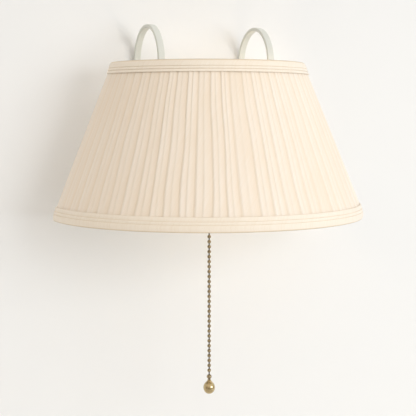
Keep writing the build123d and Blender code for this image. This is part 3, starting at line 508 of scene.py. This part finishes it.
top_trim, top_length = make_band("top_trim", TOP_Z, -1, TOP_FOLDS, -7.0 * MM)
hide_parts("top_band")
bottom_trim, bottom_length = make_band("bottom_trim", BOTTOM_Z, 1, BOTTOM_FOLDS, -8.0 * MM)
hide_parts("bottom_band")


# ---------------------------------------------------------------- hard materials
def object_place(t):
    return t.node("ShaderNodeTexCoord").outputs["Object"]


def coated(name, base, rough, grain, specks=0.0):
    """Paint or plastic with a faint orange peel, uneven gloss and a little grime."""
    made, t = material(name)
    place = object_place(t)
    peel = t.noise(place, grain, 2.0)
    patches = t.noise(place, 45.0, 4.0)
    tint = t.mix(t.ramp(patches, 0.3, 0.8, 0.0, 0.5), base, tuple(0.93 * c for c in base[:3]) + (1.0,))
    tint = t.mix(t.ramp(t.noise(place, 700.0, 1.0), 0.68, 0.75, 0.0, specks), tint, (0.25, 0.23, 0.2, 1.0))
    shine = t.ramp(patches, 0.3, 0.75, rough - 0.06, rough + 0.1)
    front = t.node(
        "ShaderNodeBsdfPrincipled", Base_Color=tint, Roughness=shine, Normal=t.bump(peel, 0.05 * MM, 0.35),
        Coat_Weight=0.15, Coat_Roughness=0.25,
    )
    t.finish(front.outputs[0])
    return made


def metal(name, base, dark, rough, scratch=(900.0, 900.0, 60.0), tarnish=0.3):
    """Metal with fine drawn scratches and patches of darker film."""
    made, t = material(name)
    place = object_place(t)
    lines = t.noise(t.stretched(place, scratch), 1.0, 3.0)
    film = t.noise(place, 160.0, 4.0)
    tint = t.mix(t.ramp(film, 0.42, 0.75, 0.0, tarnish), base, dark)
    shine = t.math("ADD", t.ramp(film, 0.3, 0.8, rough, rough + 0.16), t.ramp(lines, 0.4, 0.7, 0.0, 0.06))
    front = t.node(
        "ShaderNodeBsdfPrincipled", Base_Color=tint, Metallic=1.0, Roughness=shine,
        Normal=t.bump(lines, 0.01 * MM, 0.3),
    )
    t.finish(front.outputs[0])
    return made


assign(coated("hook_white", colour(212, 213, 205), 0.38, 900.0, 0.15), "left_hook", "right_hook")
assign(
    coated("enamel_white", colour(232, 231, 226), 0.35, 1200.0, 0.25),
    "top_ring", "bottom_ring", "shade_ribs", "cross_bar",
)
assign(
    metal("zinc", colour(190, 192, 194), colour(140, 142, 146), 0.3),
    "hook_screws", "hook_nuts", "socket_bracket", "bracket_screws", "bracket_nuts", "socket_nipple",
    "lock_washer", "lock_nut", "lever_pin",
)
spring_metal = metal("spring", colour(150, 150, 155), colour(105, 105, 112), 0.25)
assign(spring_metal, "return_spring")
assign(
    metal("shell_brass", colour(214, 180, 112), colour(164, 124, 62), 0.22, (60.0, 900.0, 900.0)),
    "cap_hub", "socket_cap", "cap_set_screw", "socket_shell", "chain_bell",
)
assign(
    metal("contact_brass", colour(205, 168, 100), colour(150, 112, 56), 0.32),
    "switch_lever", "screw_shell", "centre_contact", "terminal_screws",
)
assign(metal("tin", colour(205, 204, 200), colour(150, 150, 148), 0.35), "bulb_contact")
assign(
    metal("bulb_metal", colour(214, 214, 212), colour(160, 160, 160), 0.26, (60.0, 900.0, 900.0)), "bulb_cap",
)
assign(coated("black_plastic", colour(34, 33, 32), 0.42, 1500.0), "cord_inlet", "nipple_bush")
assign(coated("phenolic", colour(38, 32, 28), 0.5, 800.0), "switch_body")
assign(coated("black_glass", colour(24, 24, 28), 0.15, 600.0), "bulb_insulator")
assign(coated("filament", colour(225, 190, 130), 0.4, 900.0), "bulb_filament")


def fibre_material():
    made, t = material("fibre")
    place = object_place(t)
    strands = t.noise(t.stretched(place, (80.0, 900.0, 900.0)), 1.0, 4.0)
    tint = t.mix(strands, colour(120, 92, 66), colour(84, 62, 44))
    front = t.node(
        "ShaderNodeBsdfPrincipled", Base_Color=tint, Roughness=0.8, Normal=t.bump(strands, 0.05 * MM, 0.6)
    )
    t.finish(front.outputs[0])
    return made


def liner_material():
    """Matt white sheet that lets some of the bulb's light through, with faint rolling marks."""
    made, t = material("liner")
    place = object_place(t)
    marks = t.noise(t.stretched(place, (40.0, 40.0, 400.0)), 1.0, 3.0)
    patches = t.noise(place, 25.0, 3.0)
    tint = t.mix(t.ramp(patches, 0.3, 0.8, 0.0, 0.5), colour(246, 243, 236), colour(238, 231, 218))
    normal = t.bump(marks, 0.05 * MM, 0.4)
    front = t.node("ShaderNodeBsdfPrincipled", Base_Color=tint, Roughness=0.55, Normal=normal)
    back = t.node("ShaderNodeBsdfTranslucent", Color=tint, Normal=normal)
    t.finish(t.node("ShaderNodeMixShader", i0=0.35, i1=front.outputs[0], i2=back.outputs[0]).outputs[0])
    return made


assign(fibre_material(), "fibre_sleeve")
assign(liner_material(), "shade_liner")

# ---------------------------------------------------------------- return spring
SPRING_WIRE = 0.25 * MM
SPRING_TURNS = 5


def make_coil():
    """The spring under the switch's lever, coiled as its solid is, at rest. On the real lamp it shortens as
    the chain is drawn down.
    """
    low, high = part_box("return_spring")
    centre = np.array([(low[0] + high[0]) / 2, (low[1] + high[1]) / 2, low[2] + SPRING_WIRE])
    radius = (high[0] - low[0]) / 2 - SPRING_WIRE
    rise = high[2] - low[2] - 2 * SPRING_WIRE
    turn = np.linspace(0, 2 * math.pi * SPRING_TURNS, 36 * SPRING_TURNS + 1)
    out = np.column_stack([np.cos(turn), np.sin(turn), 0 * turn])
    slope = rise / SPRING_TURNS / (2 * math.pi * radius)
    up = np.column_stack([slope * np.sin(turn), -slope * np.cos(turn), 0 * turn + 1]) / math.hypot(slope, 1)
    spine = centre + radius * out + np.outer(turn / turn[-1] * rise, (0, 0, 1))
    rows = [
        spine + SPRING_WIRE * (math.cos(around) * out - math.sin(around) * up)
        for around in (2 * math.pi * i / 10 for i in range(10))
    ]
    coil = grid_piece("return_coil", rows, spring_metal, closed=True, caps=True)
    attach(coil, "lamp")
    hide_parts("return_spring")
    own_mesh(coil)


make_coil()

# ---------------------------------------------------------------- bulb
GLOBE = (42.6 * MM, -57.0 * MM, -101.0 * MM)


def bulb_glass_material():
    """Frosted glass of a bulb that is on: brightest round the filament, with the frost's fine grain."""
    made, t = material("frosted_glass")
    place = object_place(t)
    apart = t.node("ShaderNodeVectorMath", {"operation": "DISTANCE"}, i0=place, i1=GLOBE).outputs["Value"]
    near = t.ramp(apart, 20 * MM, 34 * MM, 1.0, 0.35)
    frost = t.noise(place, 2500.0, 2.0)
    glow = t.mix(near, (1.0, 0.72, 0.46, 1.0), (1.0, 0.86, 0.68, 1.0))
    glow = t.mix(t.ramp(frost, 0.3, 0.8, 0.0, 0.1), glow, (1.0, 0.9, 0.75, 1.0))
    front = t.node(
        "ShaderNodeBsdfPrincipled", Base_Color=colour(250, 240, 224), Roughness=0.45,
        Normal=t.bump(frost, 0.02 * MM, 0.4), Emission_Color=glow, Emission_Strength=7.0,
    )
    t.finish(front.outputs[0])
    return made


def clear_glass_material():
    made, t = material("clear_glass")
    wisps = t.noise(object_place(t), 120.0, 3.0)
    front = t.node(
        "ShaderNodeBsdfPrincipled", Base_Color=t.mix(wisps, colour(236, 242, 242), colour(222, 230, 230)),
        Roughness=0.05, Transmission_Weight=0.9, IOR=1.5, Normal=t.bump(wisps, 0.02 * MM, 0.3),
    )
    t.finish(front.outputs[0])
    return made


assign(bulb_glass_material(), "bulb_glass")
assign(clear_glass_material(), "bulb_stem")


# ---------------------------------------------------------------- chain and pull
def chain_brass_material():
    """Polished beads, darker where each link goes in."""
    made, t = material("chain_brass")
    place = object_place(t)
    film = t.noise(place, 420.0, 3.0)
    parts = t.node("ShaderNodeSeparateXYZ", Vector=place)
    across = t.math("ADD", parts.outputs[0], 17.6 * MM)
    deep = t.math("ADD", parts.outputs[1], 57.0 * MM)
    reach = t.math("SQRT", t.math("ADD", t.math("MULTIPLY", across, across), t.math("MULTIPLY", deep, deep)))
    joint = t.ramp(reach, 0.6 * MM, 1.3 * MM, 0.95, 0.0)
    tint = t.mix(t.ramp(film, 0.4, 0.75, 0.0, 0.4), colour(160, 144, 114), colour(92, 76, 52))
    tint = t.mix(joint, tint, colour(50, 40, 28))
    front = t.node(
        "ShaderNodeBsdfPrincipled", Base_Color=tint, Metallic=1.0,
        Roughness=t.ramp(film, 0.3, 0.8, 0.16, 0.3), Normal=t.bump(film, 0.02 * MM, 0.3),
    )
    t.finish(front.outputs[0])
    return made


assign(chain_brass_material(), "chain_top", "chain_upper", "chain_lower", "chain_connector")
assign(
    metal("pull_brass", colour(196, 176, 134), colour(100, 80, 48), 0.05, (900.0, 900.0, 900.0), 0.5),
    "pull_knob",
)


# ---------------------------------------------------------------- backdrop, lights and world
def backdrop():
    """Plain pale wall close behind the lamp, rounded into a plain pale floor, clear when seen from behind."""
    wall_y, floor_z, bend = 0.034, -0.9, 0.3
    section = [(wall_y, 1.6)]
    section += [
        (wall_y - bend * (1 - math.cos(turn)), floor_z + bend * (1 - math.sin(turn)))
        for turn in (math.pi / 2 * i / 12 for i in range(13))
    ]
    section.append((-1.3, floor_z))
    rows = [[(x, y, z) for x in (-2.4, -0.8, 0.8, 2.4)] for y, z in reversed(section)]
    made, t = material("backdrop")
    place = object_place(t)
    mottle = t.noise(place, 3.0, 3.0)
    tint = t.mix(mottle, colour(233, 232, 230), colour(231, 230, 228))
    paint = t.node(
        "ShaderNodeBsdfPrincipled", Base_Color=tint, Roughness=0.9,
        Normal=t.bump(t.noise(place, 220.0, 3.0), 0.1 * MM, 0.2),
    )
    clear = t.node("ShaderNodeBsdfTransparent")
    side = t.node("ShaderNodeNewGeometry").outputs["Backfacing"]
    t.finish(t.node("ShaderNodeMixShader", i0=side, i1=paint.outputs[0], i2=clear.outputs[0]).outputs[0])
    grid_piece("backdrop", rows, made)


backdrop()


def lamp_light(name, place, aim, size, watts, tint):
    data = bpy.data.lights.new(name, "AREA")
    data.shape = "RECTANGLE"
    data.size, data.size_y = size
    data.energy = watts
    data.color = tint
    light = bpy.data.objects.new(name, data)
    bpy.context.scene.collection.objects.link(light)
    light.location = place
    light.rotation_mode = "QUATERNION"
    light.rotation_quaternion = (Vector(aim) - Vector(place)).to_track_quat("-Z", "Y")


lamp_light("key", (1.05, -2.15, 0.15), (0.0, -0.06, -0.12), (1.5, 1.2), 25.5, (0.885, 0.945, 1.0))

world = bpy.data.worlds.new("studio")
world.use_nodes = True
bpy.context.scene.world = world
sky = Tree(world.node_tree)
sky_place = sky.node("ShaderNodeTexCoord").outputs["Generated"]
sky_parts = sky.node("ShaderNodeSeparateXYZ", Vector=sky_place)
sky_tint = sky.mix(
    sky.ramp(sky_parts.outputs[2], -0.6, 0.5), (0.36, 0.35, 0.335, 1.0), (1.04, 1.025, 1.01, 1.0)
)
side_tint = sky.mix(
    sky.ramp(sky_parts.outputs[0], -0.8, 0.4), (0.92, 0.865, 0.785, 1.0), (1.0, 0.995, 0.99, 1.0)
)
sky_tint = sky.mix(1.0, sky_tint, side_tint, "MULTIPLY")
seen = sky.node("ShaderNodeLightPath").outputs["Is Camera Ray"]
shown = sky.mix(seen, sky_tint, (0.93, 0.925, 0.92, 1.0))
sky_surface = sky.node("ShaderNodeBackground", Color=shown, Strength=0.98)
sky.finish(sky_surface.outputs[0], "ShaderNodeOutputWorld")

bpy.context.scene.view_settings.view_transform = "Standard"
